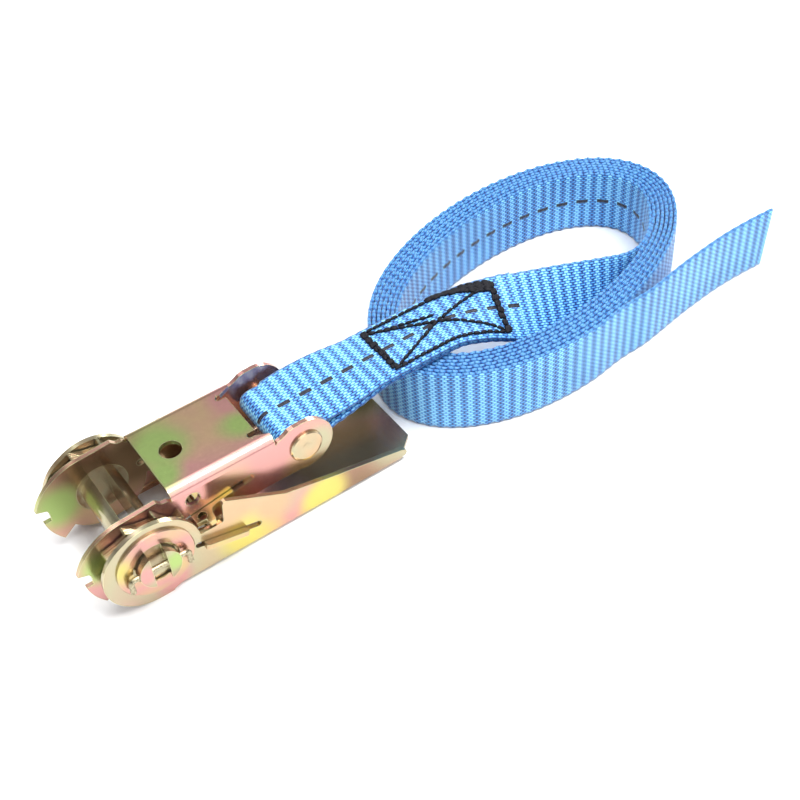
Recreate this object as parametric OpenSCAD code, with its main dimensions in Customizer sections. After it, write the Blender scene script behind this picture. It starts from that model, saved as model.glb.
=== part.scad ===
// Ratchet tie down for 25 mm webbing: a U-shaped base with an anchored, coiled strap, a hinged
// U-shaped handle, a split spindle with toothed wheels, and two sprung pawls.
// +X runs from the spindle to the strap anchor, +Z is up, and the origin is on the spindle axis,
// midway between the two sides. The handle rests on the floor and is closed.

/* [Webbing] */
// Width of the webbing
strap_w = 25; // [24:0.5:25]
// Thickness of the webbing
strap_t = 1.4; // [1.2:0.1:1.5]
// Outer half length of the coil
coil_a = 67.6; // [66:0.1:68]
// Outer half width of the coil
coil_b = 40.4; // [40:0.1:41]
// Thickness of the coil's wall of wound layers
coil_wall = 12.2; // [11:0.1:12.5]

/* [Frames] */
// Thickness of the sheet steel
sheet = 1.5; // [1.4:0.05:1.5]
// Outer width of the base frame
base_w = 30.6; // [30.4:0.1:30.8]
// Outer width of the handle frame
handle_w = 42; // [42:0.1:42.2]
// Height of the base frame's web above the spindle axis
web_top = 16; // [15.8:0.1:16.2]
// Depth of the handle's web below the spindle axis
floor_depth = 16.5; // [16.5:0.1:16.8]
// Outer radius of the base frame's bends
base_bend_r = 3.2; // [3:0.1:3.4]
// Outer radius of the handle frame's bends
bend_r = 2.2; // [2:0.1:2.4]
// Distance from the spindle axis to the handle's free end
handle_end = 92.4; // [91:0.1:92.4]
// Distance from the spindle axis to the strap anchor, along X
anchor_x = 55.3; // [55.2:0.1:55.6]
// Height of the strap anchor above the spindle axis
anchor_z = 6.7; // [6.6:0.1:6.8]
// Radius of the round hole in the base frame's web
web_hole_r = 3.5; // [3:0.1:3.5]

/* [Ratchet] */
// Number of teeth on each wheel
teeth = 10; // [10:10:10]
// Radius over the teeth
tip_r = 15.2; // [15:0.1:15.2]
// Radius at the foot of each steep tooth face
root_r = 12.2; // [12:0.1:12.2]
// Radius of each half-round spindle bar
bar_r = 6.6; // [6.4:0.1:6.6]
// Width of the webbing slot between the spindle bars
slot_w = 5.2; // [5:0.1:5.4]
// Half the overall length of the spindle
spindle_half = 24.7; // [24.7:0.1:25]
// Thickness of the two pawls
pawl_t = 1.8; // [1.6:0.1:1.8]
// Tilt of the base pawl above the X axis, in degrees
base_pawl_tilt = 9; // [9:0.5:9.5]
// Tilt of the handle pawl below the X axis, in degrees
handle_pawl_tilt = 14; // [13.5:0.5:14]

/* [Hidden] */

// Colours of the plated steel, the webbing and the thread
plated = "#d3bd7c";
plated_dark = "#a58f52";
webbing = "#5fa4dc";
thread = "#16161c";

// Running clearance of round fits
run_fit = 0.08;
base_in = base_w / 2 - sheet;
web_half = base_w / 2 - base_bend_r;
handle_in = handle_w / 2 - sheet;
hub_r = 8.5;
// The base's web runs along X between these; the strips beside it run on past its end
web_start = 11;
web_end = 42.7;
strip_end = 45.6;
// Relief notch beside each bend, at the end of the web
relief_x = 40.6;
relief_y = 9.5;
relief_r = 1;
// The handle's web, and the start of the bends that run on past it
handle_web_start = 21.5;
handle_bend_start = 3;
handle_corner_y = 14;
// Each wheel is a stack of two plates between the base and the handle
wheel_y0 = base_w / 2 + 0.5;
wheel_y1 = handle_in - 0.5;
wheel_mid = (wheel_y0 + wheel_y1) / 2;
// Angle of the first steep tooth face
tooth_phase = 4;
// Webbing anchor
rivet_r = 2.7;
wrap_r = rivet_r + 0.05 + strap_t;
// The loop is slack, so its rounded end stands off the rivet
loop_x = anchor_x - 3.6;
// Pawl noses stand just off the tooth tips at rest
nose_r = tip_r + 0.4;
handle_yoke_r = 20.6;
// Washer that holds each wheel in the handle
washer_r = 12.3;
washer_y = handle_w / 2 + 0.05;
// Cotter pin through both spindle bars
pin_r = 0.9;
pin_y = 23.4;

$fn = 96;

// A slab that lies in the XZ plane, from y0 towards +Y
module slab_y(y0, t) {
    translate([0, y0 + t, 0])
        rotate([90, 0, 0])
            linear_extrude(height = t) children();
}

// The same slab on both sides of the XZ plane, its inner face at y0
module both_sides(y0, t) {
    slab_y(y0, t) children();
    slab_y(-y0 - t, t) children();
}

// A profile drawn in Y and Z, run along +X from x0
module run_x(x0, len) {
    translate([x0, 0, 0])
        rotate([90, 0, 90])
            linear_extrude(height = len) children();
}

// A round-ended slot along X, from x0 to x1 between the centres of its ends
module slot_2d(x0, x1, r) {
    translate([x0, 0]) circle(r = r);
    translate([x1, 0]) circle(r = r);
    translate([x0, -r]) square([x1 - x0, 2 * r]);
}

// Section of one bend of a channel: w is the outer width and r the outer radius, with the
// channel's flat face at the top
module bend_2d(w, r, t) {
    difference() {
        intersection() {
            translate([w / 2 - r, -r]) circle(r = r);
            translate([w / 2 - r, -r]) square([r, r]);
        }
        translate([w / 2 - r, -r]) circle(r = r - t);
    }
}

// ---- Base frame ----

// Outline of one cheek, in X and Z
module cheek_outline() {
    lobe_x = -3.5;
    lobe_z = -4;
    lobe_r = 18.9;
    hump_r = 20;
    anchor_end_r = 9.5;
    // Lower edge in front of the spindle, clear of the handle's pawl
    low_z = -3.1;
    difference() {
        union() {
            circle(r = 14.6);
            // Rounded shoulder that ends in the pointed tip
            intersection() {
                translate([lobe_x, lobe_z]) circle(r = lobe_r);
                polygon([[lobe_x, 0.4], [-17.4, 0.4], [-17.9, 1.7], [-24, 4], [-24, 20], [lobe_x, 20]]);
            }
            // Lower lobe that lifts the handle's pawl clear of the wheels
            intersection() {
                circle(r = hump_r);
                polygon([[0, 0], [0, -2.9], [-26, -2.9], [-26, -21]]);
            }
            // Floor of the notch that holds the open handle
            polygon([[lobe_x, 0.4], [-17.4, 0.4], [-17.4, -2.9], [lobe_x, -2.9]]);
            polygon([
                [0, low_z], [14, low_z], [40, -2.1], [anchor_x, anchor_z - 9], [anchor_x + 6, anchor_z],
                [anchor_x, 16.2], [52.2, 16.2], [50.4, 15.8], [49, 14.9], [47.4, 14.1], [46.3, 13.9],
                [strip_end, web_top - base_bend_r],
                [web_start, web_top - base_bend_r],
                [9.8, 13.9], [8, 14], [6.4, 15.6], [lobe_x, lobe_z + lobe_r], [lobe_x, 0]
            ]);
            translate([anchor_x, anchor_z + 0.1]) circle(r = anchor_end_r);
        }
        circle(r = hub_r);
        translate([anchor_x, anchor_z]) circle(r = rivet_r + 0.03);
        translate([17.1, 9.5]) circle(r = 2.4);
        rotate(base_pawl_tilt) slot_2d(13.4, 36.4, pawl_t / 2 + 0.3);
    }
}

// One cheek with its bend and the strip that runs on past the web
module base_side() {
    slab_y(base_in, sheet) cheek_outline();
    difference() {
        union() {
            translate([0, 0, web_top])
                run_x(web_start, strip_end - web_start) bend_2d(base_w, base_bend_r, sheet);
            translate([relief_x, relief_y + relief_r, web_top - sheet])
                cube([strip_end - relief_x, web_half - relief_y - relief_r, sheet]);
        }
        // The strip tapers to its end
        translate([0, 0, web_top - 3])
            linear_extrude(height = 6)
                polygon([
                    [relief_x + 1, relief_y + relief_r], [strip_end + 1, 12.8], [strip_end + 1, 9]
                ]);
    }
}

module base_side_near() {
    color(plated) mirror([0, 1, 0]) base_side();
}

module base_side_far() {
    color(plated) base_side();
}

// Flat web between the two bends
module base_web() {
    half = web_half;
    tongue = relief_y - relief_r;
    color(plated)
        translate([0, 0, web_top - sheet])
            linear_extrude(height = sheet)
                difference() {
                    polygon([
                        [web_start, -half], [relief_x, -half], [relief_x, -tongue], [web_end, -tongue],
                        [web_end, tongue], [relief_x, tongue], [relief_x, half], [web_start, half]
                    ]);
                    translate([19.2, 0]) circle(r = web_hole_r);
                    for (side = [-1, 1])
                        translate([relief_x, side * relief_y]) circle(r = relief_r);
                }
}

module anchor_rivet() {
    head_r = 5.5;
    shank = base_w + 0.2;
    color(plated)
        rotate([90, 0, 0]) {
            translate([anchor_x, anchor_z, -shank / 2]) cylinder(r = rivet_r, h = shank);
            for (side = [-1, 1])
                translate([anchor_x, anchor_z, 0])
                    rotate([side < 0 ? 180 : 0, 0, 0])
                        translate([0, 0, base_w / 2 + 0.05])
                            rotate_extrude()
                                polygon([
                                    [0, 0], [head_r, 0], [head_r, 0.5], [head_r - 0.4, 0.9],
                                    [head_r - 1.1, 1.1], [2.2, 1.15], [1.2, 1], [0, 0.95]
                                ]);
        }
}

// Crossbar in the ends of the cheek slots that the base pawl's spring pushes against
module base_spring_seat() {
    seat_half = base_w / 2 - 0.3;
    color(plated_dark)
        rotate([0, -base_pawl_tilt, 0])
            translate([0, 0, -pawl_t / 2])
                linear_extrude(height = pawl_t) {
                    translate([33.9, -seat_half]) square([2.4, 2 * seat_half]);
                    translate([31.7, -1.3]) square([2.3, 2.6]);
                }
}

// ---- Pawls ----

// Half outlines, as distance from the spindle axis and Y; each is mirrored to the other side
base_pawl_half = [
    [19.5, 0], [19.5, 10.6], [18.5, 11.8], [nose_r, 12.4], [nose_r, wheel_y1],
    [18.6, handle_in], [18.6, 21], [19, 21.4], [20.6, 21.4], [20.9, 21], [21.1, 18.6],
    [21.8, 17.3], [23.4, 16.7], [29.2, 16.7], [29.6, 16.3], [29.6, 3.4], [25.2, 3.4],
    [25.2, 1.3], [28.6, 1.3], [28.6, 0]
];
handle_pawl_half = [
    [handle_yoke_r, 0], [handle_yoke_r, 15], [20.2, 15.6], [nose_r, 15.7], [nose_r, 22.9],
    [16.2, 23.3], [29.4, 23.3], [29.8, 22.9], [29.8, 3.4], [26, 3.4], [26, 1.3],
    [30.4, 1.3], [30.4, 0]
];

function mirrored(half) = concat(
    half, [for (i = [len(half) - 2 : -1 : 1]) [half[i][0], -half[i][1]]]
);

module base_pawl() {
    color(plated)
        rotate([0, -base_pawl_tilt, 0])
            translate([0, 0, -pawl_t / 2])
                difference() {
                    linear_extrude(height = pawl_t) polygon(mirrored(base_pawl_half));
                    for (side = [-1, 1])
                        translate([18.2, side * 17.7, -1]) cylinder(r = 1.5, h = 4);
                }
}

module handle_pawl() {
    color(plated)
        rotate([0, handle_pawl_tilt, 0])
            translate([0, 0, -pawl_t / 2])
                linear_extrude(height = pawl_t) polygon(mirrored(handle_pawl_half));
}

// Coil spring along +X from x0 to x1, made of turns of round wire
spring_r = 2.2;
wire_r = 0.3;
spring_steps = 14;
spring_sides = 6;

module coil_spring(x0, x1, turns) {
    n = turns * spring_steps;
    rise = (x1 - x0 - 2 * wire_r) / n;
    rings = [
        for (i = [0 : n]) let (a = 360 * i / spring_steps)
            [for (k = [0 : spring_sides - 1]) let (b = 360 * k / spring_sides) [
                x0 + wire_r + i * rise + wire_r * sin(b),
                (spring_r + wire_r * cos(b)) * cos(a),
                (spring_r + wire_r * cos(b)) * sin(a)
            ]]
    ];
    points = [for (ring = rings) for (p = ring) p];
    walls = [
        for (i = [0 : n - 1]) for (k = [0 : spring_sides - 1])
            let (m = (k + 1) % spring_sides, j = i * spring_sides)
                [j + k, j + m, j + spring_sides + m, j + spring_sides + k]
    ];
    first = [for (k = [spring_sides - 1 : -1 : 0]) k];
    last = [for (k = [0 : spring_sides - 1]) n * spring_sides + k];
    polyhedron(points = points, faces = concat(walls, [first, last]), convexity = 10);
}

module base_pawl_spring() {
    color("silver")
        rotate([0, -base_pawl_tilt, 0]) coil_spring(25.25, 33.85, 6);
}

module handle_pawl_spring() {
    color("silver")
        rotate([0, handle_pawl_tilt, 0]) coil_spring(26.05, 37.4, 7);
}

// ---- Handle frame ----

module flange_outline() {
    difference() {
        union() {
            circle(r = 14.8);
            // Fuller side of the round end, down to the floor
            translate([-1.2, -1.2]) circle(r = floor_depth - 1.2);
            polygon([
                [-1.2, -floor_depth], [handle_bend_start, -floor_depth],
                [handle_bend_start, bend_r - floor_depth],
                [86.4, bend_r - floor_depth], [87.2, -13.2], [86.8, -12.1], [85.4, -11.4],
                [60, -5.9], [43.5, -1.9], [25.6, 7.9], [24.6, 8.4], [23.8, 8.3], [23.3, 7.6],
                [22.6, 1.2], [22, 0.6], [0, 0.6]
            ]);
        }
        circle(r = hub_r);
        rotate(-handle_pawl_tilt) slot_2d(14, 34, pawl_t / 2 + 0.2);
    }
}

// Outline of the handle's floor seen from above, with its clipped corners
module handle_floor_outline() {
    polygon([
        [0, -22], [handle_end - 7.4, -22], [handle_end - 6.4, -19.6], [handle_end, -handle_corner_y],
        [handle_end, handle_corner_y], [handle_end - 6.4, 19.6], [handle_end - 7.4, 22], [0, 22]
    ]);
}

// One flange with its bend, which runs on past the end of the web
module handle_side() {
    slab_y(handle_in, sheet) flange_outline();
    intersection() {
        translate([0, 0, -floor_depth])
            mirror([0, 0, 1])
                run_x(handle_bend_start, handle_end - handle_bend_start)
                    bend_2d(handle_w, bend_r, sheet);
        translate([0, 0, -floor_depth - 1]) linear_extrude(height = 6) handle_floor_outline();
    }
}

module handle_side_near() {
    color(plated) mirror([0, 1, 0]) handle_side();
}

module handle_side_far() {
    color(plated) handle_side();
}

// Flat web between the two bends
module handle_web() {
    half = handle_w / 2 - bend_r;
    color(plated)
        translate([0, 0, -floor_depth])
            linear_extrude(height = sheet)
                intersection() {
                    handle_floor_outline();
                    translate([handle_web_start, -half])
                        square([handle_end - handle_web_start, 2 * half]);
                }
}

// Tab that stands up from the handle's web and carries the pawl spring
module handle_spring_tab() {
    color(plated)
        intersection() {
            rotate([0, handle_pawl_tilt, 0]) {
                translate([37.45, -5, -9]) cube([sheet, 10, 11.4]);
                translate([35.2, -1.3, -0.9]) cube([2.4, 2.6, 1.8]);
            }
            translate([30, -6, sheet - floor_depth]) cube([12, 12, 14]);
        }
}

// ---- Spindle ----

// One half-round bar; side is -1 for the bar at -X and 1 for the one at +X
module spindle_bar(side) {
    difference() {
        slab_y(-spindle_half, 2 * spindle_half)
            intersection() {
                circle(r = bar_r);
                translate([side < 0 ? -bar_r - slot_w / 2 : slot_w / 2, -bar_r])
                    square([bar_r, 2 * bar_r]);
            }
        for (y = [-pin_y, pin_y])
            translate([-10, y, 0])
                rotate([0, 90, 0]) cylinder(r = pin_r + 0.05, h = 20);
    }
}

module spindle_bar_front() {
    color(plated) spindle_bar(-1);
}

module spindle_bar_rear() {
    color(plated) spindle_bar(1);
}

// Toothed outline: each tooth climbs to its tip, then drops along a steep radial face
module wheel_outline() {
    pitch = 360 / teeth;
    difference() {
        polygon([
            for (i = [0 : teeth - 1]) let (a = tooth_phase + i * pitch)
                for (p = [[0, root_r], [0.55 * pitch, root_r + 0.6], [pitch - 2, tip_r], [pitch, tip_r]])
                    [p[1] * cos(a + p[0]), p[1] * sin(a + p[0])]
        ]);
        difference() {
            circle(r = bar_r + 0.04);
            translate([-slot_w / 2 + 0.04, -10]) square([slot_w - 0.08, 20]);
        }
    }
}

// Round hub that turns in the frame, with the same two half-round openings
module hub_outline() {
    difference() {
        circle(r = hub_r - run_fit);
        difference() {
            circle(r = bar_r + 0.04);
            translate([-slot_w / 2 + 0.04, -10]) square([slot_w - 0.08, 20]);
        }
    }
}

module wheel_inner() {
    slab_y(wheel_y0, wheel_mid - wheel_y0) wheel_outline();
    slab_y(base_in + 0.05, wheel_y0 - base_in - 0.05) hub_outline();
}

module wheel_outer() {
    slab_y(wheel_mid, wheel_y1 - wheel_mid) wheel_outline();
    slab_y(wheel_y1, handle_w / 2 - 0.05 - wheel_y1) hub_outline();
}

module wheel_near_inner() {
    color(plated_dark) mirror([0, 1, 0]) wheel_inner();
}

module wheel_near_outer() {
    color(plated_dark) mirror([0, 1, 0]) wheel_outer();
}

module wheel_far_inner() {
    color(plated_dark) wheel_inner();
}

module wheel_far_outer() {
    color(plated_dark) wheel_outer();
}

// Dished washer, with its rim on the handle
module washer() {
    rotate([-90, 0, 0])
        rotate_extrude()
            polygon([
                [7.4, washer_y + 0.25], [9.2, washer_y], [washer_r, washer_y],
                [washer_r, washer_y + 0.6], [washer_r - 0.3, washer_y + 0.9],
                [9.4, washer_y + 0.9], [7.4, washer_y + 0.75]
            ]);
}

module washer_near() {
    color(plated) mirror([0, 1, 0]) washer();
}

module washer_far() {
    color(plated) washer();
}

// Cotter pin across both bars; its two ends are bent down
module cotter_pin() {
    reach = 7.9;
    elbow = 1.4;
    leg = 3.4;
    translate([0, pin_y, 0]) {
        translate([-reach, 0, 0]) rotate([0, 90, 0]) cylinder(r = pin_r, h = 2 * reach, $fn = 32);
        for (side = [-1, 1]) {
            translate([side * reach, 0, -elbow])
                rotate([90, 0, 0])
                    rotate([0, 0, side > 0 ? 0 : 90])
                        rotate_extrude(angle = 90, $fn = 32)
                            translate([elbow, 0]) circle(r = pin_r, $fn = 32);
            translate([side * (reach + elbow), 0, -elbow - leg]) cylinder(r = pin_r, h = leg, $fn = 32);
        }
    }
}

module cotter_pin_near() {
    color("silver") mirror([0, 1, 0]) cotter_pin();
}

module cotter_pin_far() {
    color("silver") cotter_pin();
}

// ---- Webbing ----

floor_z = -floor_depth;
coil_top = floor_z + strap_w;
// The lower layer lies on the coil and the sewn-back layer lies on it
lower_z = coil_top + 0.1 + strap_t / 2;
layer_gap = strap_t + 0.05;
eye_end = 88;

// Loop round the anchor rivet, and both layers up to where they are sewn together
module strap_eye() {
    top_inner = lower_z + layer_gap - strap_t / 2;
    color(webbing)
        slab_y(-strap_w / 2, strap_w) {
            intersection() {
                translate([loop_x, anchor_z])
                    difference() {
                        circle(r = wrap_r);
                        circle(r = wrap_r - strap_t);
                    }
                translate([loop_x - 10, anchor_z - 10]) square([10, 20]);
            }
            polygon([
                [loop_x, anchor_z + wrap_r - strap_t], [anchor_x, anchor_z + wrap_r - strap_t],
                [eye_end, top_inner], [eye_end, top_inner + strap_t],
                [anchor_x, anchor_z + wrap_r], [loop_x, anchor_z + wrap_r]
            ]);
            polygon([
                [loop_x, anchor_z - wrap_r], [anchor_x, anchor_z - wrap_r],
                [eye_end - 3, lower_z - strap_t / 2],
                [eye_end, lower_z - strap_t / 2], [eye_end, lower_z + strap_t / 2],
                [eye_end - 3, lower_z + strap_t / 2], [anchor_x, anchor_z - wrap_r + strap_t],
                [loop_x, anchor_z - wrap_r + strap_t]
            ]);
        }
}

// Route of the lead's centre line: X, Y, Z and the roll that lowers its near edge
lead_route = [
    [eye_end, 0, lower_z, 0], [98, 0, lower_z, 0], [108, 0, lower_z, 0],
    [118, -0.6, 9.5, 1], [128, -2.2, 8.6, 9], [136, -3.6, 6.8, 18], [144, -5.2, 4.8, 28],
    [152, -7.0, 2.8, 38], [160, -8.6, 1.0, 48], [168, -9.8, -0.8, 58],
    [176, -10.6, -2.4, 69], [183, -10.6, -3.6, 80], [188, -10.0, -4.0, 88]
];
return_stations = 6;
// Each part of the route is divided further, so that the twisting faces stay smooth
refine = 3;
columns = 8;
function refined(route) = concat(
    [
        for (i = [0 : len(route) - 2]) for (j = [0 : refine - 1])
            route[i] + (route[i + 1] - route[i]) * j / refine
    ],
    [route[len(route) - 1]]
);
lead = refined(lead_route);
return_last = return_stations * refine;

function route_step(route, i) =
    let (a = max(i - 1, 0), b = min(i + 1, len(route) - 1))
        [for (k = [0 : 2]) route[b][k] - route[a][k]];
function unit(v) = v / norm(v);
// Directions at station i: along the route, across it towards the far edge, and out of its face
function along(route, i) = unit(route_step(route, i));
function level(route, i) = unit(cross([0, 0, 1], along(route, i)));
function across(route, i) =
    let (l = level(route, i), u = cross(along(route, i), l), r = route[i][3])
        l * cos(r) + u * sin(r);
function outward(route, i) = cross(along(route, i), across(route, i));
function place(route, i, w, n) =
    [for (k = [0 : 2]) route[i][k]] + w * across(route, i) + n * outward(route, i);

// A band from the lead's first station to station n. Its middle runs from w0 to w1 across the
// route, its width is band_w in cols columns, and it lies between n0 and n1 out of the face.
module band(n, w0, w1, band_w, n0, n1, cols) {
    ring = concat(
        [for (k = [0 : cols]) [k / cols - 0.5, n0]], [for (k = [cols : -1 : 0]) [k / cols - 0.5, n1]]
    );
    m = len(ring);
    points = [
        for (i = [0 : n]) let (w = w0 + (w1 - w0) * i / n)
            for (c = ring) place(lead, i, w + c[0] * band_w, c[1])
    ];
    // Both faces are split along the same diagonal, so that a twisted band keeps its thickness
    walls = [
        for (i = [0 : n - 1]) for (k = [0 : m - 1])
            let (a = i * m + k, b = i * m + (k + 1) % m, c = b + m, d = a + m)
                each k > cols ? [[a, d, b], [b, d, c]] : [[a, c, b], [a, d, c]]
    ];
    first = [for (k = [0 : cols - 1]) [k, k + 1, m - 2 - k, m - 1 - k]];
    last = [for (q = first) [for (k = [3 : -1 : 0]) n * m + q[k]]];
    polyhedron(points = points, faces = concat(walls, first, last), convexity = 6);
}

module strap_lead() {
    color(webbing) band(len(lead) - 1, 0, 0, strap_w, -strap_t / 2, strap_t / 2, columns);
}

// Sewn-back end of the webbing, on top of the lead
module strap_return() {
    low = layer_gap - strap_t / 2;
    color(webbing) band(return_last, 0, 0, strap_w, low, low + strap_t, columns);
}

// Lock stitching through both layers: a box with a cross in it
module box_stitching() {
    low = layer_gap + strap_t / 2 + 0.1;
    high = low + 0.5;
    half = strap_w / 2 - 3;
    line_w = 0.8;
    last = return_last - refine;
    color(thread)
        for (ends = [[-half, -half], [half, half], [-half, half], [half, -half]])
            band(last, ends[0], ends[1], line_w, low, high, 1);
}

// The coil is an oval whose long axis is turned a little from X
coil_centre = [161, 9.9];
coil_turn = 11;

function oval(a, b, n) = [
    for (i = [0 : n - 1]) let (t = 360 * i / n, x = a * cos(t), y = b * sin(t)) [
        coil_centre[0] + x * cos(coil_turn) - y * sin(coil_turn),
        coil_centre[1] + x * sin(coil_turn) + y * cos(coil_turn)
    ]
];

module strap_coil() {
    color(webbing)
        translate([0, 0, floor_z])
            linear_extrude(height = strap_w)
                difference() {
                    polygon(oval(coil_a, coil_b, 72));
                    polygon(oval(coil_a - coil_wall, coil_b - coil_wall, 72));
                }
}

// Free end of the webbing, which leaves the front of the coil
tail_route = [
    [182, -28.2], [190, -26.9], [200, -25.2], [210, -23.9], [220, -22.9], [231, -22.6], [243, -23.0]
];

module strap_tail() {
    half = strap_t / 2;
    last = len(tail_route) - 1;
    normal = [
        for (i = [0 : last])
            let (d = tail_route[min(i + 1, last)] - tail_route[max(i - 1, 0)])
                [-d[1], d[0]] / norm(d)
    ];
    color(webbing)
        translate([0, 0, floor_z])
            linear_extrude(height = strap_w)
                polygon(concat(
                    [for (i = [0 : last]) tail_route[i] - half * normal[i]],
                    [for (i = [last : -1 : 0]) tail_route[i] + half * normal[i]]
                ));
}

base_side_near();
base_side_far();
base_web();
anchor_rivet();
base_spring_seat();
base_pawl();
base_pawl_spring();
handle_side_near();
handle_side_far();
handle_web();
handle_spring_tab();
handle_pawl();
handle_pawl_spring();
spindle_bar_front();
spindle_bar_rear();
wheel_near_inner();
wheel_near_outer();
wheel_far_inner();
wheel_far_outer();
washer_near();
washer_far();
cotter_pin_near();
cotter_pin_far();
strap_eye();
strap_return();
strap_lead();
strap_coil();
strap_tail();
box_stitching();
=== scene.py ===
"""Ratchet tie down: closed buckle with a coil of blue webbing, on a pale floor."""
import math
import bpy
import numpy as np
from mathutils import Matrix, Vector


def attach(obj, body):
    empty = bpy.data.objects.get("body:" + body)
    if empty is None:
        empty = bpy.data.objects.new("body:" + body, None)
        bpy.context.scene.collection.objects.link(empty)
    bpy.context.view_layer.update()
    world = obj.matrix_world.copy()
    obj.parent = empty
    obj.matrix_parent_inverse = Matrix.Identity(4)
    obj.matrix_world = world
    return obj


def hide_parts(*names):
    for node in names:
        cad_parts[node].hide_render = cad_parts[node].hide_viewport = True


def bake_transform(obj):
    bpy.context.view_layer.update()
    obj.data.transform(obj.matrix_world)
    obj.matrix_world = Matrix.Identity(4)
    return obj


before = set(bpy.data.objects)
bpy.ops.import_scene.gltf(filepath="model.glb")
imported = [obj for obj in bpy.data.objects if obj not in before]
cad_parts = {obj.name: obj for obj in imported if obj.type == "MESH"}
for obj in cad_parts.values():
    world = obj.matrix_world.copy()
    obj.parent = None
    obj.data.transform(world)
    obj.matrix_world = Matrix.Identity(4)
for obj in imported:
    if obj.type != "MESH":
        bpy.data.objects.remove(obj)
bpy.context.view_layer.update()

MM = 0.001
FLOOR_Z = -16.5

# ---- Camera: three-quarter view from above, turned a little about its own axis ----

CAMERA_PLACE = (-57.25, -254.99, 295.17)
CAMERA_HEADING = 31.5
CAMERA_DOWN = 46.0
CAMERA_ROLL = 4.8
LENS = 58.5
SENSOR_W = 36.0


def make_camera():
    data = bpy.data.cameras.new("camera")
    data.lens = LENS
    data.sensor_width = SENSOR_W
    data.clip_start = 0.01
    camera = bpy.data.objects.new("camera", data)
    bpy.context.scene.collection.objects.link(camera)
    turn = (
        Matrix.Rotation(math.radians(-CAMERA_HEADING), 4, "Z")
        @ Matrix.Rotation(math.radians(90 - CAMERA_DOWN), 4, "X")
        @ Matrix.Rotation(math.radians(-CAMERA_ROLL), 4, "Z")
    )
    camera.matrix_world = Matrix.Translation(Vector(CAMERA_PLACE) * MM) @ turn
    bpy.context.scene.camera = camera


make_camera()


# ---- Meshes ----

def mesh_object(name, points_mm, faces, smooth=True):
    mesh = bpy.data.meshes.new(name)
    mesh.from_pydata((np.asarray(points_mm) * MM).tolist(), [], faces)
    mesh.polygons.foreach_set("use_smooth", [smooth] * len(mesh.polygons))
    mesh.update()
    obj = bpy.data.objects.new(name, mesh)
    bpy.context.scene.collection.objects.link(obj)
    return obj


def grid_faces(rings, sides):
    """Faces of a tube made of rings of points, closed at both ends."""
    faces = []
    for i in range(rings - 1):
        for k in range(sides):
            m = (k + 1) % sides
            faces.append((i * sides + k, i * sides + m, (i + 1) * sides + m, (i + 1) * sides + k))
    faces.append(tuple(range(sides - 1, -1, -1)))
    faces.append(tuple((rings - 1) * sides + k for k in range(sides)))
    return faces


def unit(v):
    return v / np.maximum(np.linalg.norm(v, axis=-1, keepdims=True), 1e-9)


def add_values(obj, name, values):
    attribute = obj.data.attributes.new(name, "FLOAT", "POINT")
    attribute.data.foreach_set("value", np.asarray(values, np.float32))


# ---- The strap's route, in millimetres ----

STRAP_W = 25.0
STRAP_T = 1.4
ANCHOR = np.array([55.3, 0.0, 6.7])
WRAP_R = 3.45
WRAP_STEP = 6
# The loop is slack, so its rounded end stands off the rivet
LOOP = ANCHOR - np.array([3.6, 0.0, 0.0])
LOOP_STATIONS = 44
LAYER_GAP = STRAP_T + 0.05
# Between the loop and the stitching the strap rolls a little: its far edge rises
SLACK_ROLL = math.radians(10)
ROLL_START = 50.0
ROLL_LENGTH = 36.0
# The lower layer rolls less, and only past the rivet
LOWER_ROLL_SHARE = 0.4
LOWER_ROLL_START = 59.0
LOWER_ROLL_RISE = 8.0
# The upper layer is lifted over the rivet, and less and less beyond it
LIFT_END = 67.0
LIFT_FALL = 9.0
LOWER_Z = FLOOR_Z + STRAP_W + 0.1 + STRAP_T / 2
EYE_END = 88.0
ROUTE_STEP = 0.6
STEP = 0.78
# Centre line of the lead: x, y, z and the roll that lowers its near edge
LEAD_ROUTE = [
    (EYE_END, 0, LOWER_Z, 0), (98, 0, LOWER_Z, 0), (108, 0, LOWER_Z, 0),
    (118, -0.6, 9.5, 1), (128, -2.2, 8.6, 9), (136, -3.6, 6.8, 18), (144, -5.2, 4.8, 28),
    (152, -7.0, 2.8, 38), (160, -8.6, 1.0, 48), (168, -9.8, -0.8, 58),
    (176, -10.6, -2.4, 69), (183, -10.6, -3.6, 80), (188, -10.0, -4.0, 88),
]
RETURN_STATIONS = 6
TAIL_ROUTE = [
    (182, -28.2), (190, -26.9), (200, -25.2), (210, -23.9), (220, -22.9), (231, -22.6), (243, -23.0),
]
COIL_CENTRE = (161.0, 9.9)
COIL_TURN = math.radians(11)
COIL_OUTER = (67.6, 40.4)
COIL_WALL = 12.2
COIL_START = math.radians(-30)
COIL_END = math.radians(360 * 6 + 278)
COIL_POINTS_PER_TURN = 420
COIL_STRIDE = 14
ON_EDGE = 90
STAND_Z = FLOOR_Z + STRAP_W / 2


def curve_through(points, step):
    """A smooth curve through the points, whose tangents come from chord lengths."""
    p = np.asarray(points, float)
    chord = np.concatenate([[0], np.cumsum(np.linalg.norm(np.diff(p[:, :3], axis=0), axis=1))])
    slope = np.gradient(p, chord, axis=0)
    out = []
    for i in range(len(p) - 1):
        length = chord[i + 1] - chord[i]
        t = np.linspace(0, 1, max(2, int(length / step)), endpoint=False)[:, None]
        out.append(
            (2 * t**3 - 3 * t**2 + 1) * p[i] + (t**3 - 2 * t**2 + t) * length * slope[i]
            + (3 * t**2 - 2 * t**3) * p[i + 1] + (t**3 - t**2) * length * slope[i + 1]
        )
    return np.vstack(out + [p[-1:]])


def with_frames(stations):
    """Splits x, y, z, roll rows into points and the directions across the strap."""
    along = unit(np.gradient(stations[:, :3], axis=0))
    level = unit(np.cross([0, 0, 1.0], along))
    raised = np.cross(along, level)
    roll = np.radians(stations[:, 3:4])
    return stations[:, :3], unit(level * np.cos(roll) + raised * np.sin(roll))


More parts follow.
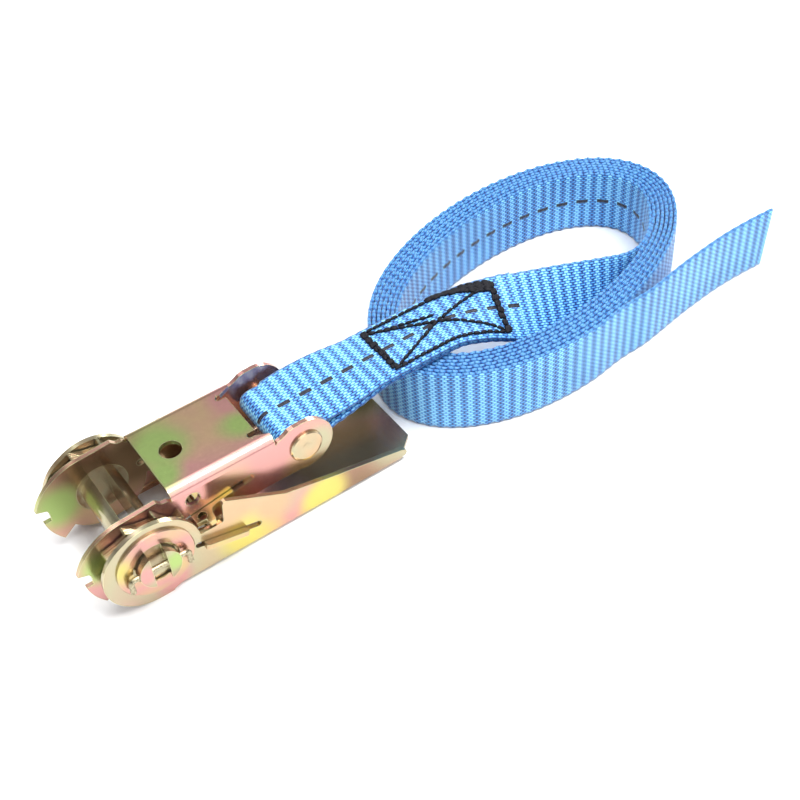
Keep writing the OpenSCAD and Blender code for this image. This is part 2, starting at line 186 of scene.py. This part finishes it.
def coil_points():
    turns = (COIL_END - COIL_START) / (2 * math.pi)
    t = np.linspace(COIL_START, COIL_END, int(turns * COIL_POINTS_PER_TURN))
    share = (t - COIL_START) / (COIL_END - COIL_START)
    inset = (COIL_WALL - STRAP_T / 2) * (1 - share) + STRAP_T / 2 * share
    x = (COIL_OUTER[0] - inset) * np.cos(t)
    y = (COIL_OUTER[1] - inset) * np.sin(t)
    return np.stack([
        COIL_CENTRE[0] + x * math.cos(COIL_TURN) - y * math.sin(COIL_TURN),
        COIL_CENTRE[1] + x * math.sin(COIL_TURN) + y * math.cos(COIL_TURN),
        np.full_like(t, STAND_Z),
    ], axis=1)


def strap_route():
    """Points and across directions, from the sewn-back end round the rivet to the free end."""
    # Lead, then the coil and the tail
    coil = coil_points()
    tail = [(x, y, STAND_Z) for x, y in TAIL_ROUTE]
    standing = [(*p, ON_EDGE) for p in (*coil[::COIL_STRIDE], *tail)]
    main = curve_through(LEAD_ROUTE + standing, ROUTE_STEP)
    lead, lead_across = with_frames(main)
    # Sewn-back layer, a layer above the lead's first stations
    upper = curve_through(LEAD_ROUTE[:RETURN_STATIONS + 1], ROUTE_STEP)
    back, back_across = with_frames(upper)
    out = np.cross(unit(np.gradient(back, axis=0)), back_across)
    back = (back + LAYER_GAP * out)[::-1]
    back_across = back_across[::-1]
    # Loop round the rivet
    turn = np.radians(np.arange(90, 271, WRAP_STEP))
    wrap = LOOP + WRAP_R * np.stack([np.cos(turn), 0 * turn, np.sin(turn)], axis=1)
    over, under = ANCHOR + [0, 0, WRAP_R], ANCHOR - [0, 0, WRAP_R]
    top = np.linspace(back[-1], over, LOOP_STATIONS)[1:-1]
    low = np.linspace(under, lead[0], LOOP_STATIONS)[1:-1]
    loop = np.vstack([top, over[None], wrap, under[None], low])
    points = np.vstack([back, loop, lead])
    # The loop's roll. Over the rivet the upper layer turns about its near edge
    x = loop[:, 0]
    lower = slice(len(top), None)
    roll = SLACK_ROLL * np.sin(math.pi * np.clip((x - ROLL_START) / ROLL_LENGTH, 0, 1))
    roll[lower] *= LOWER_ROLL_SHARE * np.clip((x[lower] - LOWER_ROLL_START) / LOWER_ROLL_RISE, 0, 1)
    lift = STRAP_W / 2 * np.sin(roll) * np.clip((LIFT_END - x) / LIFT_FALL, 0, 1)
    lift[lower] = 0
    loop[:, 2] += lift
    loop_across = np.stack([0 * roll, np.cos(roll), np.sin(roll)], axis=1)
    across = np.vstack([back_across, loop_across, lead_across])
    return points, across


def resample(points, across, step):
    """Evenly spaced distances along the route, with the point and across direction at each."""
    along = np.concatenate([[0], np.cumsum(np.linalg.norm(np.diff(points, axis=0), axis=1))])
    at = np.linspace(0, along[-1], int(along[-1] / step))

    def pick(values):
        return np.stack([np.interp(at, along, values[:, k]) for k in range(3)], axis=1)

    return at, pick(points), unit(pick(across))


RIB = 3.9
RIB_HEIGHT = 0.05
FACE_COLUMNS = 13
# The woven strap is a little thinner and narrower than its nominal size
THICKNESS_LOSS = 0.03
WIDTH_SHARE = 0.985
EDGE_THINNING = 0.55
EDGE_SCALLOP = 0.012
EDGE_SWAY = 0.20
# The free end is cut aslant over its last stretch
CUT_LENGTH = 6
CUT_SLANT = 0.9
FLOOR_GAP = 0.02


def make_strap():
    """The strap as one sheet of constant width, with ribs and slightly wavy edges."""
    at, points, across = resample(*strap_route(), STEP)
    length = at[-1]
    along = unit(np.gradient(points, axis=0))
    across = unit(across - along * np.sum(across * along, axis=1, keepdims=True))
    out = np.cross(along, across)
    u = np.sin(np.linspace(-math.pi / 2, math.pi / 2, FACE_COLUMNS))
    u = np.concatenate([u, u[-2:0:-1]])
    side = np.array([1.0] * FACE_COLUMNS + [-1.0] * (FACE_COLUMNS - 2))
    side[0] = 0
    side[FACE_COLUMNS - 1] = 0
    rib = np.cos(2 * math.pi * at / RIB)[:, None]
    thick = (STRAP_T / 2 - THICKNESS_LOSS) * (1 - EDGE_THINNING * np.abs(u) ** 10)
    thick = thick + RIB_HEIGHT * rib * side
    sway = np.sin(2 * math.pi * at / RIB + 2.1 * np.sin(at / 37.0))[:, None]
    sway = EDGE_SWAY * np.abs(u) ** 8 * sway
    scallop = 1 + EDGE_SCALLOP * rib * np.where(u > 0, 1, -1)
    w = STRAP_W / 2 * WIDTH_SHARE * u * scallop
    slant = np.clip((at - (length - CUT_LENGTH)) / CUT_LENGTH, 0, 1)[:, None]
    shift = -along[:, None, :] * (slant * CUT_SLANT * (1 - u))[:, :, None]
    verts = (
        points[:, None, :] + shift + across[:, None, :] * w[:, :, None]
        + out[:, None, :] * (thick * side + sway)[:, :, None]
    )
    sides = len(u)
    verts = verts.reshape(-1, 3)
    verts[:, 2] = np.maximum(verts[:, 2], FLOOR_Z + FLOOR_GAP)
    strap = mesh_object("strap", verts, grid_faces(len(at), sides))
    add_values(strap, "weave_u", np.tile(u * STRAP_W / 2, len(at)))
    add_values(strap, "weave_v", np.repeat(at, sides))
    add_values(strap, "tracer", np.tile((side < 0).astype(float), len(at)))
    return strap, length, (points, across, out, at)


# ---- Thread ----

def tube(path, radius, sides=6):
    """Points and faces of a round thread along a path, tapered at both ends."""
    along = unit(np.gradient(path, axis=0))
    one = unit(np.cross(along, [0.13, 0.21, 0.97]))
    two = np.cross(along, one)
    a = 2 * math.pi * np.arange(sides) / sides
    taper = np.full(len(path), radius)
    taper[0] = taper[-1] = radius * 0.5
    verts = path[:, None] + taper[:, None, None] * (
        np.cos(a)[None, :, None] * one[:, None] + np.sin(a)[None, :, None] * two[:, None]
    )
    return verts.reshape(-1, 3), grid_faces(len(path), sides)


# Start and end of the stitched box along the strap, and its half width
BOX_S0 = 4.0
BOX_S1 = 50.0
BOX_W = 9.8
STITCH = 2.4
STITCH_SHARE = 0.96
THREAD_R = 0.52
# Height of a stitch above the strap at its ends, and how much more at its middle
THREAD_LOW = 0.05
THREAD_RISE = 0.34
BAR_LINES = 20
# The sewn-back layer lies within this length of the route
SEWN_LENGTH = 90


def make_stitching(route):
    """A box with a cross, sewn through both layers, each stitch a little out of line."""
    points, across, out, at = route
    # Where the sewn-back layer reaches the eye
    end = np.argmin(np.abs(points[at <= SEWN_LENGTH, 0] - EYE_END))
    rng = np.random.default_rng(7)

    def on_strap(s, w, h):
        where = np.interp(at[end] - s, at, np.arange(len(at)))
        p = np.array([np.interp(where, np.arange(len(at)), points[:, k]) for k in range(3)])
        i = int(round(float(where)))
        return p + across[i] * w - out[i] * (STRAP_T / 2 + h)

    verts, faces = [], []

    def line(a, b, wander=0.25, radius=THREAD_R):
        a, b = np.array(a, float), np.array(b, float)
        n = max(1, int(np.linalg.norm(b - a) / STITCH))
        for i in range(n):
            jitter = rng.normal(0, wander, 4) * 0.5
            p0 = a + (b - a) * (i / n) + jitter[:2]
            p1 = a + (b - a) * ((i + STITCH_SHARE) / n) + jitter[2:]
            path = np.array([
                on_strap(*(p0 + (p1 - p0) * t), THREAD_LOW + THREAD_RISE * math.sin(math.pi * t))
                for t in np.linspace(0, 1, 5)
            ])
            v, f = tube(path, radius)
            start = sum(len(x) for x in verts)
            verts.append(v)
            faces.extend([tuple(k + start for k in face) for face in f])

    near, far = -BOX_W, BOX_W
    for _ in range(2):
        line((BOX_S0, far), (BOX_S1, far))
        line((BOX_S0, near), (BOX_S1, near))
        line((BOX_S0, far), (BOX_S1, near))
        line((BOX_S0, near), (BOX_S1, far))
    line((BOX_S0, far - 1), (BOX_S1 * 0.55, 3.0))
    # Back-tacked ends, where the thread lies several times over itself
    for repeat in range(5):
        line((BOX_S0 + 0.35 * repeat, far), (BOX_S0 + 0.35 * repeat, near), 0.45)
        line((BOX_S1 - 0.35 * repeat, far), (BOX_S1 - 0.35 * repeat, near), 0.4)
    # The dense bar at the far corner
    for k in range(BAR_LINES):
        spread = k / BAR_LINES
        line((BOX_S0 + 24 + 10 * spread, far + 0.9 - 1.4 * spread),
             (BOX_S1 - 0.5, far + 0.8 - 4.6 * spread), 0.5, 0.55)
    return mesh_object("box_stitches", np.vstack(verts), faces)


# ---- Springs ----

SPRING_R = 2.2
WIRE_R = 0.3
POINTS_PER_COIL = 26


def make_spring(name, tilt, start, end, turns):
    """A helical spring with closed ends, along a radial direction tilted above the X axis."""
    t = np.linspace(0, turns, turns * POINTS_PER_COIL)
    s = t / turns
    ease = s + 0.06 * np.sin(2 * math.pi * s)
    x = start + WIRE_R + (end - start - 2 * WIRE_R) * ease
    path = np.stack(
        [x, SPRING_R * np.cos(2 * math.pi * t), SPRING_R * np.sin(2 * math.pi * t)], axis=1
    )
    a = math.radians(tilt)
    turned = np.stack([
        path[:, 0] * math.cos(a) - path[:, 2] * math.sin(a), path[:, 1],
        path[:, 0] * math.sin(a) + path[:, 2] * math.cos(a),
    ], axis=1)
    verts, faces = tube(turned, WIRE_R, 8)
    return mesh_object(name, verts, faces)


# ---- Materials ----

class Nodes:
    """Short names for the nodes of one material."""

    def __init__(self, name):
        self.material = bpy.data.materials.new(name)
        self.material.use_nodes = True
        self.tree = self.material.node_tree
        self.shader = self.tree.nodes["Principled BSDF"]

    def new(self, kind, **values):
        node = self.tree.nodes.new(kind)
        for key, value in values.items():
            setattr(node, key, value)
        return node

    def link(self, a, b):
        self.tree.links.new(a, b)

    def put(self, value, socket):
        if hasattr(value, "is_output"):
            self.link(value, socket)
        else:
            socket.default_value = value

    def math(self, operation, a, b=0.0):
        node = self.new("ShaderNodeMath", operation=operation)
        for value, socket in zip((a, b), node.inputs):
            self.put(value, socket)
        return node.outputs[0]

    def attribute(self, name):
        return self.new("ShaderNodeAttribute", attribute_name=name).outputs["Fac"]

    def noise(self, scale, detail, rough, offset=(0, 0, 0)):
        coords = self.new("ShaderNodeTexCoord")
        mapping = self.new("ShaderNodeMapping")
        mapping.inputs["Location"].default_value = offset
        self.link(coords.outputs["Object"], mapping.inputs["Vector"])
        noise = self.new("ShaderNodeTexNoise")
        noise.inputs["Scale"].default_value = scale
        noise.inputs["Detail"].default_value = detail
        noise.inputs["Roughness"].default_value = rough
        self.link(mapping.outputs[0], noise.inputs["Vector"])
        return noise.outputs["Fac"]

    def ramp(self, factor, stops):
        node = self.new("ShaderNodeValToRGB")
        while len(node.color_ramp.elements) < len(stops):
            node.color_ramp.elements.new(0.5)
        for element, (place, colour) in zip(node.color_ramp.elements, stops):
            element.position = place
            element.color = (*colour, 1)
        self.link(factor, node.inputs[0])
        return node.outputs[0]

    def mix(self, factor, a, b, blend="MIX"):
        node = self.new("ShaderNodeMix", data_type="RGBA", blend_type=blend)
        self.put(factor, node.inputs[0])
        for value, socket in ((a, node.inputs[6]), (b, node.inputs[7])):
            self.put((*value, 1) if isinstance(value, tuple) else value, socket)
        return node.outputs[2]

    def bump(self, height, distance, strength):
        node = self.new("ShaderNodeBump")
        node.inputs["Distance"].default_value = distance
        node.inputs["Strength"].default_value = strength
        self.link(height, node.inputs["Height"])
        self.link(node.outputs[0], self.shader.inputs["Normal"])


PINK = (0.64, 0.33, 0.30)
ROSE = (0.40, 0.20, 0.16)
PEACH = (0.62, 0.43, 0.26)
YELLOW = (0.70, 0.60, 0.16)
LIME = (0.40, 0.54, 0.18)
OLIVE = (0.12, 0.10, 0.04)
BROWN = (0.26, 0.17, 0.09)
STEEL = (0.50, 0.46, 0.30)
# Colour of the painted edge highlight, which also stands for wear
PALE_HIGHLIGHT_AND_WEAR = (0.92, 0.94, 0.56)

# Millimetres from an edge at which the pale painted highlight, which also stands for wear, and the
# painted brown shade end
PALE_R = 0.28
SHADE_R = 0.75
# Heights beyond which the base's and the handle's sheets are joined at their bends, and how far
# from the seam an edge is hidden, in metres like the nodes that use them
SEAM_ABOVE = 0.0142
SEAM_BELOW = -0.0147
SEAM_REACH = 0.00090
# How sharply a bent normal counts as an edge
EDGE_DOT = 0.985
EDGE_GAIN = 7.0
SHADE_STRENGTH = 0.65
# Spots fade between these shares of their radius, and drift with the large noise
SPOT_FADE = (0.35, 1.15)
SPOT_DRIFT = 1.6
# Where the dark line begins, from the middle of a plate, as a share of the plates' spacing
PLATE_LINE = 0.36
PLATE_STRENGTH = 0.8
PLATING_METALLIC = 0.88


def near_plane(n, value, place, reach):
    """1 where the value is within reach of the place, 0 elsewhere."""
    return n.math("LESS_THAN", n.math("ABSOLUTE", n.math("SUBTRACT", value, place)), reach)


def zinc(name, order, spots=(), seam=None, scale=38, offset=(0, 0, 0), roughness=0.24, plates=0.0):
    """Yellow chromate plating with drifting tints, fine brushing, pale edges painted as highlight
    and wear, and a painted brown shade just inside them.

    Spots are patches of colour: centre and radius in mm, and tint. A seam (y in mm, and whether it
    is above the axis) is where two nodes of one sheet meet, so it shows no edge. Plates (mm) is the
    spacing of the dark lines across a stack of thin plates.
    """
    n = Nodes(name)
    big = n.noise(scale, 2.0, 0.45, offset)
    places = [0.30 + 0.40 * i / (len(order) - 1) for i in range(len(order))]
    tint = n.ramp(big, list(zip(places, order)))
    coords = n.new("ShaderNodeTexCoord").outputs["Object"]
    for centre, radius, colour in spots:
        far = n.new("ShaderNodeVectorMath", operation="DISTANCE")
        n.link(coords, far.inputs[0])
        far.inputs[1].default_value = [c * MM for c in centre]
        reach = n.math("DIVIDE", far.outputs["Value"], radius * MM)
        reach = n.math("ADD", reach, n.math("MULTIPLY", n.math("SUBTRACT", big, 0.5), SPOT_DRIFT))
        share = n.new("ShaderNodeMapRange", interpolation_type="SMOOTHSTEP")
        n.link(reach, share.inputs[0])
        for socket, value in zip(share.inputs[1:5], (*SPOT_FADE, 1.0, 0.0)):
            socket.default_value = value
        tint = n.mix(share.outputs[0], tint, colour)
    fine = n.noise(900, 4.0, 0.6, offset)
    speck = n.ramp(fine, [(0.30, (0.95, 0.95, 0.95)), (0.70, (1.0, 1.0, 1.0))])
    tint = n.mix(1.0, tint, speck, "MULTIPLY")
    geometry = n.new("ShaderNodeNewGeometry")

    def near_edge(radius):
        bevel = n.new("ShaderNodeBevel", samples=6)
        bevel.inputs["Radius"].default_value = radius * MM
        dot = n.new("ShaderNodeVectorMath", operation="DOT_PRODUCT")
        n.link(bevel.outputs[0], dot.inputs[0])
        n.link(geometry.outputs["True Normal"], dot.inputs[1])
        share = n.math("MULTIPLY", n.math("SUBTRACT", EDGE_DOT, dot.outputs["Value"]), EDGE_GAIN)
        return n.math("MINIMUM", n.math("MAXIMUM", share, 0.0), 1.0)

    # Pale edges are a painted highlight that also stands for wear; a band a little further in is
    # painted brown as shade
    edge = n.math("MULTIPLY", near_edge(PALE_R), n.math("ADD", 0.45, fine))
    shade = n.math("MULTIPLY", near_edge(SHADE_R), SHADE_STRENGTH)
    if seam:
        axes = n.new("ShaderNodeSeparateXYZ")
        n.link(coords, axes.inputs[0])
        seam_y, above = seam
        side, limit = ("GREATER_THAN", SEAM_ABOVE) if above else ("LESS_THAN", SEAM_BELOW)
        level = n.math(side, axes.outputs[2], limit)
        joined = near_plane(n, n.math("ABSOLUTE", axes.outputs[1]), seam_y * MM, SEAM_REACH)
        apart = n.math("SUBTRACT", 1.0, n.math("MULTIPLY", joined, level))
        edge = n.math("MULTIPLY", edge, apart)
        shade = n.math("MULTIPLY", shade, apart)
    colour = n.mix(edge, n.mix(shade, tint, BROWN), PALE_HIGHLIGHT_AND_WEAR)
    if plates:
        axes = n.new("ShaderNodeSeparateXYZ")
        n.link(coords, axes.inputs[0])
        row = n.math("FRACT", n.math("DIVIDE", axes.outputs[1], plates * MM))
        line = n.math("GREATER_THAN", n.math("ABSOLUTE", n.math("SUBTRACT", row, 0.5)), PLATE_LINE)
        colour = n.mix(n.math("MULTIPLY", line, PLATE_STRENGTH), colour, OLIVE)
    n.link(colour, n.shader.inputs["Base Color"])
    n.shader.inputs["Metallic"].default_value = PLATING_METALLIC
    rough = n.math("ADD", roughness - 0.06, n.math("MULTIPLY", fine, 0.12))
    n.link(rough, n.shader.inputs["Roughness"])
    n.bump(fine, 0.000012, 0.25)
    return n.material


def bright_steel(name):
    n = Nodes(name)
    drawn = n.noise(1400, 3.0, 0.6)
    tint = n.ramp(drawn, [(0.3, (0.26, 0.22, 0.13)), (0.7, (0.56, 0.50, 0.34))])
    n.link(tint, n.shader.inputs["Base Color"])
    n.shader.inputs["Metallic"].default_value = 0.9
    n.link(n.math("ADD", 0.18, n.math("MULTIPLY", drawn, 0.2)), n.shader.inputs["Roughness"])
    n.bump(drawn, 0.00002, 0.5)
    return n.material


# Width of a yarn, length of its floats, and the dashes of the tracer yarn, in millimetres
YARN = 0.86
FLOAT = 1.95
TRACER_PITCH = 7.8
TRACER_DASH = 4.3
TRACER_HALF = 0.75
# Strength of the painted light and shade across the ribs, and of the random wear
RIB_SHADING = 0.24
WEAR_TONE = 0.3


def webbing_material():
    """Warp-faced webbing: short floats in brick order, broad cross ribs and a tracer yarn."""
    n = Nodes("webbing_weave")
    u = n.attribute("weave_u")
    v = n.attribute("weave_v")
    tracer_face = n.attribute("tracer")
    yarn = n.math("DIVIDE", n.math("ADD", u, 100.0), YARN)
    index = n.math("FLOOR", yarn)
    phase = n.math("MULTIPLY", n.math("MODULO", index, 2.0), 0.5)
    in_yarn = n.math("FRACT", yarn)
    crown = n.math("SINE", n.math("MULTIPLY", in_yarn, math.pi))
    run = n.math("FRACT", n.math("ADD", n.math("DIVIDE", v, FLOAT), phase))
    arch = n.math("SINE", n.math("MULTIPLY", run, math.pi))
    arch = n.math("POWER", arch, 0.45)
    crown = n.math("POWER", crown, 0.55)
    height = n.math("MULTIPLY", crown, arch)
    rib = n.math("COSINE", n.math("MULTIPLY", v, 2 * math.pi / RIB))
    rib = n.math("MULTIPLY", rib, RIB_SHADING)
    wear = n.math("MULTIPLY", n.math("SUBTRACT", n.noise(60, 2.0, 0.5), 0.5), WEAR_TONE)
    shading_and_wear = n.math("ADD", n.math("ADD", height, rib), wear)
    # The ramp paints light and shade: the yarns' crowns and the ribs' tops pale cyan as highlight,
    # the hollows deep navy as shade
    colour = n.ramp(shading_and_wear, [
        (0.10, (0.003, 0.012, 0.100)), (0.38, (0.020, 0.130, 0.500)),
        (0.72, (0.090, 0.400, 0.820)), (1.00, (0.300, 0.720, 0.960)),
    ])
    # Near its two edges the strap is a deeper blue, and its hollows there are painted darker still
    # as shade
    rim = n.math("SUBTRACT", n.math("ABSOLUTE", u), 0.93 * STRAP_W / 2)
    rim = n.math("MINIMUM", n.math("MAXIMUM", n.math("MULTIPLY", rim, 1.6), 0.0), 0.75)
    colour = n.mix(rim, colour, n.mix(height, (0.003, 0.014, 0.09), (0.035, 0.20, 0.56)))
    dash = n.math("FRACT", n.math("DIVIDE", v, TRACER_PITCH))
    dash = n.math("LESS_THAN", dash, TRACER_DASH / TRACER_PITCH)
    centre = n.math("LESS_THAN", n.math("ABSOLUTE", u), TRACER_HALF)
    on_face = n.math("GREATER_THAN", tracer_face, 0.5)
    dark = n.math("MULTIPLY", n.math("MULTIPLY", dash, centre), on_face)
    n.link(n.mix(dark, colour, (0.002, 0.003, 0.015)), n.shader.inputs["Base Color"])
    n.shader.inputs["Roughness"].default_value = 0.48
    n.shader.inputs["Sheen Weight"].default_value = 0.35
    n.shader.inputs["Sheen Roughness"].default_value = 0.4
    n.shader.inputs["Specular IOR Level"].default_value = 0.45
    n.bump(height, 0.00022, 0.9)
    return n.material


def thread_material():
    n = Nodes("thread_twist")
    twist = n.noise(2600, 2.0, 0.6)
    tint = n.ramp(twist, [(0.35, (0.001, 0.001, 0.003)), (0.75, (0.012, 0.012, 0.020))])
    n.link(tint, n.shader.inputs["Base Color"])
    n.shader.inputs["Roughness"].default_value = 0.6
    n.shader.inputs["Specular IOR Level"].default_value = 0.25
    n.bump(twist, 0.00008, 0.8)
    return n.material


def floor_material():
    n = Nodes("floor_paper")
    grain = n.noise(300, 2.0, 0.5)
    tint = n.ramp(grain, [(0.3, (0.90, 0.90, 0.905)), (0.7, (0.93, 0.93, 0.935))])
    n.link(tint, n.shader.inputs["Base Color"])
    n.shader.inputs["Roughness"].default_value = 0.7
    n.shader.inputs["Specular IOR Level"].default_value = 0.1
    return n.material


def finish(obj, material):
    """Puts the material on every slot of the piece, adding a slot if it has none."""
    if len(obj.material_slots) == 0:
        obj.data.materials.append(material)
    for s in obj.material_slots:
        s.material = material


# ---- Building ----

strap, strap_length, strap_frames = make_strap()
finish(strap, webbing_material())
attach(strap, "base")
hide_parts("strap_eye", "strap_return", "strap_lead", "strap_coil", "strap_tail")

stitches = make_stitching(strap_frames)
finish(stitches, thread_material())
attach(stitches, "base")
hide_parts("box_stitching")

steel = bright_steel("bright_steel_drawn")


for name, node, bodies, tilt, start, end, turns in (
    ("base_spring", "base_pawl_spring", ("base_pawl", "base"), 9, 25.25, 33.85, 6),
    ("handle_spring", "handle_pawl_spring", ("handle_pawl", "handle"), -14, 26.05, 37.4, 7),
):
    spring = make_spring(name, tilt, start, end, turns)
    finish(spring, steel)
    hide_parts(node)
    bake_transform(spring)

# The base is lime round the hole and at its corner, pink between, and pale at its sides. The two
# brown patches on its far cheek are painted shade inside the channel
base_zinc = zinc(
    "zinc_base", [PINK, PEACH, PINK, PINK],
    spots=[((17, 3, 16), 11, LIME), ((13, -8, 16), 8, LIME), ((41, -4, 16), 8, LIME),
           ((30, -15, 6), 12, PEACH), ((-4, 13, 8), 12, BROWN), ((10, 13, 4), 12, BROWN),
           ((-14, 13, 2), 9, LIME), ((-14, -15, 2), 9, LIME), ((60, -15, 6), 8, STEEL)],
    seam=(12.1, True), scale=30, offset=(0.011, 0.0, 0.004),
)
# The handle is yellow round its pawl slot, peach along its sides and rose on its floor. The large
# brown patch on its floor is painted shade inside the channel
handle_zinc = zinc(
    "zinc_handle", [PEACH, PINK, STEEL, PEACH],
    spots=[((28, -21, -9), 13, YELLOW), ((4, -21, -12), 8, PINK), ((70, -8, -16), 22, BROWN),
           ((88, 10, -16), 12, OLIVE), ((56, -21, -12), 9, YELLOW), ((38, -21, -3), 9, PEACH)],
    seam=(18.8, False), scale=26, offset=(0.03, 0.01, 0.0),
)
pawl_zinc = zinc(
    "zinc_pawls", [YELLOW, PEACH, YELLOW], spots=[((18, -18, 3), 4, OLIVE), ((24, 0, 4), 9, ROSE)],
    scale=60, offset=(0.0, 0.02, 0.0),
)
wheel_zinc = zinc(
    "zinc_wheels", [PEACH, STEEL, BROWN, PEACH], scale=90, offset=(0.02, 0.0, 0.01), plates=0.8,
)
bar_zinc = zinc(
    "zinc_bars", [BROWN, STEEL, BROWN],
    spots=[((-5, -25, 0), 5, PINK), ((5, -25, 0), 5, LIME)],
    scale=30, offset=(0.04, 0.0, 0.03), roughness=0.16,
)
washer_zinc = zinc("zinc_washers", [YELLOW, PEACH, PINK, PEACH], scale=55, offset=(0.0, 0.0, 0.05))
rivet_zinc = zinc("zinc_rivet", [STEEL, PEACH, STEEL], scale=80, offset=(0.01, 0.03, 0.0))
FINISHES = {
    base_zinc: ("base_side_near", "base_side_far", "base_web"),
    handle_zinc: ("handle_side_near", "handle_side_far", "handle_web", "handle_spring_tab"),
    pawl_zinc: ("base_pawl", "handle_pawl", "base_spring_seat"),
    wheel_zinc: (
        "wheel_near_inner", "wheel_near_outer", "wheel_far_inner", "wheel_far_outer",
    ),
    bar_zinc: ("spindle_bar_front", "spindle_bar_rear"),
    rivet_zinc: ("anchor_rivet",),
    washer_zinc: ("washer_near", "washer_far"),
    steel: ("cotter_pin_near", "cotter_pin_far"),
}
for material, nodes in FINISHES.items():
    for node in nodes:
        finish(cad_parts[node], material)


# ---- Studio ----

FLOOR_HALF = 6000.0


def make_floor():
    corners = [
        (x * FLOOR_HALF, y * FLOOR_HALF, FLOOR_Z) for x, y in ((-1, -1), (1, -1), (1, 1), (-1, 1))
    ]
    floor = mesh_object("floor", corners, [(0, 1, 2, 3)], smooth=False)
    finish(floor, floor_material())


def area_light(name, place, aim, size, watts):
    data = bpy.data.lights.new(name, "AREA")
    data.size = size
    data.energy = watts
    light = bpy.data.objects.new(name, data)
    bpy.context.scene.collection.objects.link(light)
    place, aim = Vector(place), Vector(aim)
    turn = (aim - place).to_track_quat("-Z", "Y").to_matrix().to_4x4()
    light.matrix_world = Matrix.Translation(place) @ turn


def make_studio():
    make_floor()
    middle = (0.11, 0.0, 0.0)
    area_light("key", (0.36, -0.30, 0.92), middle, 0.50, 9.0)
    area_light("overhead", (-0.15, 0.25, 1.00), middle, 0.90, 6.0)
    area_light("fill", (0.10, -0.95, 0.60), middle, 0.80, 4.0)
    area_light("rim", (0.80, 0.60, 0.45), middle, 0.30, 4.0)
    world = bpy.data.worlds.new("studio")
    world.use_nodes = True
    background = world.node_tree.nodes["Background"]
    # Bright overhead with a darker band below it, so that the metal's faces differ
    coords = world.node_tree.nodes.new("ShaderNodeTexCoord")
    axes = world.node_tree.nodes.new("ShaderNodeSeparateXYZ")
    sky = world.node_tree.nodes.new("ShaderNodeValToRGB")
    world.node_tree.links.new(coords.outputs["Generated"], axes.inputs[0])
    world.node_tree.links.new(axes.outputs[2], sky.inputs[0])
    world.node_tree.links.new(sky.outputs[0], background.inputs["Color"])
    stops = ((0.0, 0.62), (0.20, 0.42), (0.42, 0.10), (0.75, 0.40), (1.0, 1.0))
    while len(sky.color_ramp.elements) < len(stops):
        sky.color_ramp.elements.new(0.5)
    for stop, (place, level) in zip(sky.color_ramp.elements, stops):
        stop.position = place
        stop.color = (level * 0.97, level * 0.985, level, 1)
    background.inputs["Strength"].default_value = 1.25
    bpy.context.scene.world = world
    bpy.context.scene.view_settings.view_transform = "Standard"


make_studio()

print("strap length mm", round(strap_length, 1))
